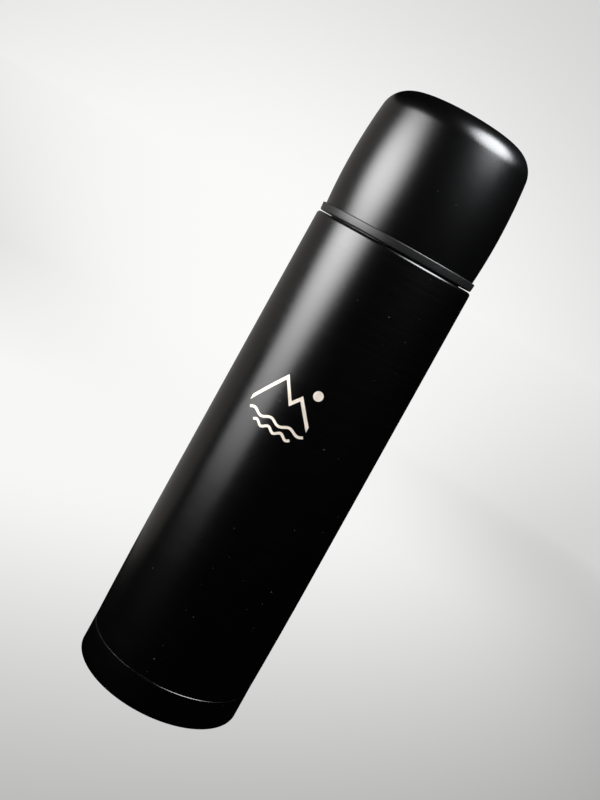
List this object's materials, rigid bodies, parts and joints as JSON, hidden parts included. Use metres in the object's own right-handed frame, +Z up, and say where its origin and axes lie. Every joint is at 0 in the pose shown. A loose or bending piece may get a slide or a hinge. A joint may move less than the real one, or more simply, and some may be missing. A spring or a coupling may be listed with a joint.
{
  "type": "vacuum flask",
  "caption": "Slim double-walled vacuum flask with a domed screw-on cup, a plain black band under it and a push-button pouring stopper inside.",
  "frame": {"origin": "centre of the base, on the surface that the flask stands on", "axes": "+Z up along the flask's axis, towards the cup; -Y is the front, which carries the engraved mark; +X is to the right seen from the front"},
  "size_m": [0.068, 0.068, 0.2505],
  "materials": {
    "coated_steel": "satin black powder coat",
    "bare_steel": "brushed stainless steel",
    "foil": "bright foil",
    "getter_metal": "sintered metal powder",
    "solder": "dull solder",
    "band_plastic": "black polypropylene, fine grain",
    "stopper_plastic": "black polypropylene",
    "button_plastic": "dark grey polypropylene",
    "valve_plastic": "light grey polypropylene",
    "silicone": "translucent white silicone",
    "black_rubber": "black nitrile rubber",
    "insulation_foam": "polyurethane foam",
    "spring_steel": "stainless spring wire"
  },
  "bodies": {
    "vessel": {"outer_shell": "coated_steel", "outer_base": "bare_steel", "base_cap": "coated_steel", "inner_vessel": "bare_steel", "inner_base": "bare_steel", "reflective_foil": "foil", "getter_pill": "getter_metal", "getter_clip": "spring_steel", "port_seal": "solder", "neck_collar": "stopper_plastic"},
    "stopper_seal": {"stopper_gasket": "silicone"},
    "stopper": {"stopper_plug": "stopper_plastic", "stopper_core": "valve_plastic", "seat_plate": "stopper_plastic", "stopper_insulation": "insulation_foam", "stopper_housing": "stopper_plastic", "stem_o_ring": "black_rubber", "button_spring": "spring_steel"},
    "button": {"push_button": "button_plastic", "valve_stem": "valve_plastic", "valve_disc": "stopper_plastic", "valve_seal": "silicone"},
    "tab_left": {"release_tab_left": "button_plastic"},
    "tab_right": {"release_tab_right": "button_plastic"},
    "cup_seal": {"cup_gasket": "silicone"},
    "cup": {"cup_thread_ring": "band_plastic", "cup_inner": "bare_steel", "cup_shell": "coated_steel"}
  },
  "joints": [
    {"name": "stopper_lift", "type": "slide", "parent": "vessel", "child": "stopper_seal", "axis": [0, 0, 1], "range_m": [0, 0.04]},
    {"name": "stopper_turn", "type": "hinge", "parent": "stopper_seal", "child": "stopper", "pos_m": [0, 0, 0.2], "axis": [0, 0, 1], "range_deg": [0, 540]},
    {"name": "button_press", "type": "slide", "parent": "stopper", "child": "button", "axis": [0, 0, -1], "range_m": [0, 0.004], "stiffness_N_per_m": 600, "springref_m": -0.003, "deforming": ["button_spring"]},
    {"name": "release_tab_left_press", "type": "slide", "parent": "stopper", "child": "tab_left", "axis": [1, 0, 0], "range_m": [0, 0.0015], "stiffness_N_per_m": 500, "springref_m": -0.001},
    {"name": "release_tab_right_press", "type": "slide", "parent": "stopper", "child": "tab_right", "axis": [-1, 0, 0], "range_m": [0, 0.0015], "stiffness_N_per_m": 500, "springref_m": -0.001},
    {"name": "cup_lift", "type": "slide", "parent": "stopper_seal", "child": "cup_seal", "axis": [0, 0, 1], "range_m": [0, 0.06]},
    {"name": "cup_turn", "type": "hinge", "parent": "cup_seal", "child": "cup", "pos_m": [0, 0, 0.2], "axis": [0, 0, 1], "range_deg": [0, 540]}
  ]
}
